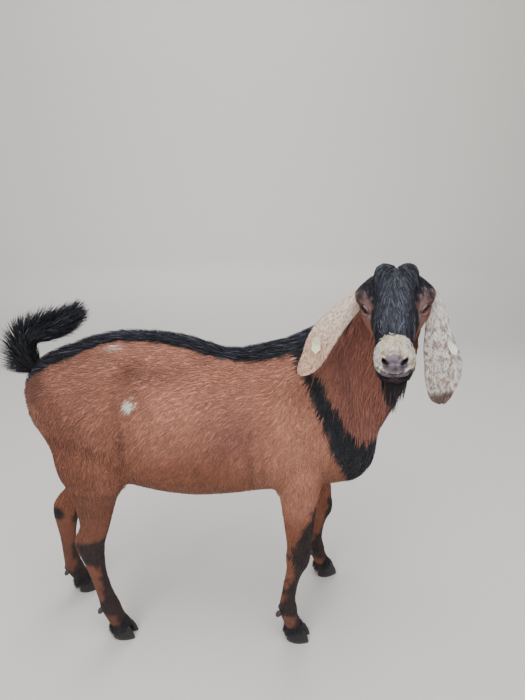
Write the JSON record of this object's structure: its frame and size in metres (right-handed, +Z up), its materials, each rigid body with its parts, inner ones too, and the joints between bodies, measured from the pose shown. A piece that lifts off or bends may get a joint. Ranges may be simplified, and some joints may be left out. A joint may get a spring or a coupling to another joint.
{
  "type": "nubian goat",
  "caption": "Standing bay goat with black markings, long hanging ears, roman nose and raised tail, its head turned to its right.",
  "frame": {"origin": "middle of the bounding box, on the floor under the hooves", "axes": "+X from the tail to the chest, +Y to the left side of the goat, +Z up"},
  "size_m": [1.0632, 0.4618, 1.0387],
  "materials": {
    "bay_coat": "short glossy hair",
    "leg_coat": "short hair",
    "black_coat": "long hair",
    "ear_coat": "fine flecked hair",
    "horn": "dull horn",
    "eye": "wet",
    "tag": "soft moulded sheet"
  },
  "bodies": {
    "root": {"ear_left": "ear_coat", "ear_right": "ear_coat", "eye_left": "eye", "eye_right": "eye", "fore_left_claw_inner": "horn", "fore_left_claw_outer": "horn", "fore_left_dewclaw_inner": "horn", "fore_left_dewclaw_outer": "horn", "fore_left_lower": "leg_coat", "fore_left_upper": "bay_coat", "fore_right_claw_inner": "horn", "fore_right_claw_outer": "horn", "fore_right_dewclaw_inner": "horn", "fore_right_dewclaw_outer": "horn", "fore_right_lower": "leg_coat", "fore_right_upper": "bay_coat", "head": "black_coat", "hind_left_claw_inner": "horn", "hind_left_claw_outer": "horn", "hind_left_dewclaw_inner": "horn", "hind_left_dewclaw_outer": "horn", "hind_left_lower": "leg_coat", "hind_left_upper": "bay_coat", "hind_right_claw_inner": "horn", "hind_right_claw_outer": "horn", "hind_right_dewclaw_inner": "horn", "hind_right_dewclaw_outer": "horn", "hind_right_lower": "leg_coat", "hind_right_upper": "bay_coat", "neck": "bay_coat", "tag_left": "tag", "tag_right": "tag", "tail": "black_coat", "torso": "bay_coat"}
  },
  "joints": []
}
